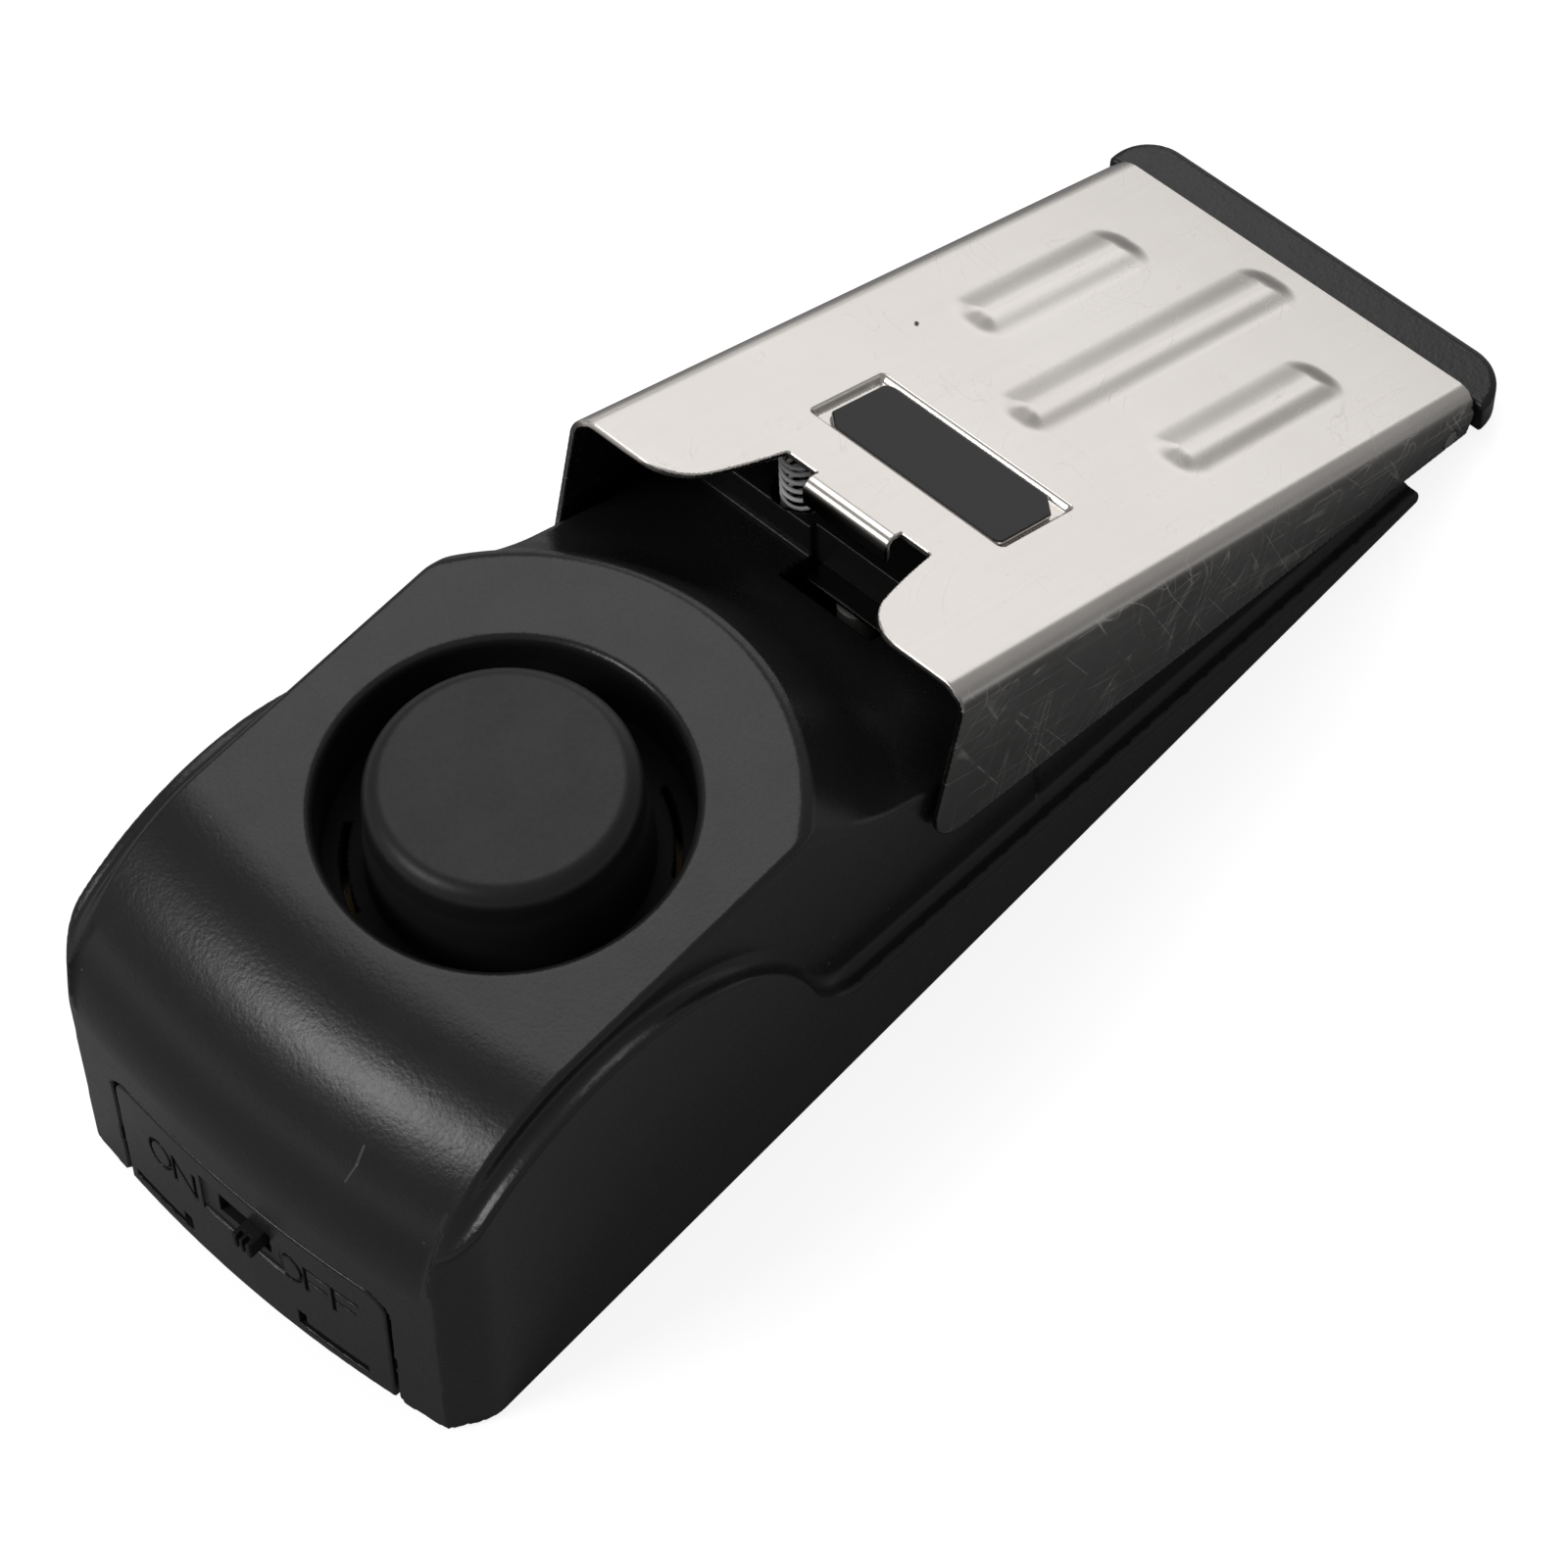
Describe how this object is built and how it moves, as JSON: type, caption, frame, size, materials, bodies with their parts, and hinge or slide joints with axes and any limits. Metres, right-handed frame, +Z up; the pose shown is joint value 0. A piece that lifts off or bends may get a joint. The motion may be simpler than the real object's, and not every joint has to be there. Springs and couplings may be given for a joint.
{
  "type": "door stop alarm",
  "caption": "Wedge door stop with a siren dome and recessed cap, a sprung steel pressure plate on the slope, a rear slide switch and grip pads below.",
  "frame": {"origin": "centre of the bounding box on the surface it stands on", "axes": "+X from the siren end to the thin toe that goes under the door, +Z up, +Y the side of ON on the rear switch"},
  "size_m": [0.1406, 0.045, 0.0399],
  "materials": {
    "housing": "fine moulded grain, satin black",
    "siren_cap": "smooth satin black",
    "brass": "plain rolled brass disc",
    "piezo_ceramic": "pale fired ceramic with a thin silver face",
    "inner_plastic": "plain moulded black",
    "plate_steel": "fine-rolled stainless sheet with light scratches",
    "label": "glossy black film, bare",
    "pin_steel": "drawn steel wire",
    "spring_steel": "bright spring wire",
    "switch_knob": "matt black with moulded ridges",
    "switch_shell": "folded tinned steel",
    "base_cover": "matt black moulding",
    "pad_rubber": "soft black foam rubber",
    "battery_can": "plain printed steel can, unmarked",
    "board": "green solder mask",
    "plunger": "natural acetal",
    "coil": "shrink sleeve over the winding",
    "lead_red": "soft wire insulation",
    "lead_black": "soft wire insulation",
    "screw_steel": "zinc-plated steel"
  },
  "bodies": {
    "case": {"top_housing": "housing", "rear_panel": "housing", "siren_cap": "siren_cap", "piezo_disc": "brass", "piezo_ceramic": "piezo_ceramic", "piezo_retainer": "inner_plastic", "hinge_pin": "pin_steel", "plate_spring_left": "spring_steel", "plate_spring_right": "spring_steel", "slide_switch": "switch_shell", "base_cover": "base_cover", "grip_pad_front": "pad_rubber", "battery": "battery_can", "snap_connector": "inner_plastic", "circuit_board": "board", "trip_switch": "inner_plastic", "control_chip": "inner_plastic", "boost_coil": "coil", "battery_lead_red": "lead_red", "battery_lead_black": "lead_black", "siren_lead_red": "lead_red", "siren_lead_black": "lead_black", "cover_screw_rear_left": "screw_steel", "cover_screw_rear_right": "screw_steel", "cover_screw_front_left": "screw_steel", "cover_screw_front_right": "screw_steel", "board_screw_left": "screw_steel", "board_screw_right": "screw_steel"},
    "plate": {"pressure_plate": "plate_steel", "label_plate": "label"},
    "plunger": {"trip_plunger": "plunger"},
    "slider": {"switch_knob": "switch_knob"},
    "door": {"battery_door": "base_cover", "grip_pad_rear": "pad_rubber"}
  },
  "joints": [
    {"name": "plate_press", "type": "hinge", "parent": "case", "child": "plate", "pos_m": [0.0613, 0, 0.00294], "axis": [0, -1, 0], "range_deg": [0, 5.3], "stiffness_Nm_per_rad": 1.6, "springref_deg": -3.44, "deforming": ["plate_spring_left", "plate_spring_right"]},
    {"name": "plunger_slide", "type": "slide", "parent": "case", "child": "plunger", "axis": [0, 0, -1], "range_m": [0, 0.0054]},
    {"name": "switch_slide", "type": "slide", "parent": "case", "child": "slider", "axis": [0, 1, 0], "range_m": [0, 0.003]},
    {"name": "door_lift_off", "type": "slide", "parent": "case", "child": "door", "axis": [0, 0, -1], "range_m": [0, 0.02]}
  ],
  "couplings": [
    {"joint": "plunger_slide", "follows": "plate_press", "m_per_rad": 0.0577}
  ]
}
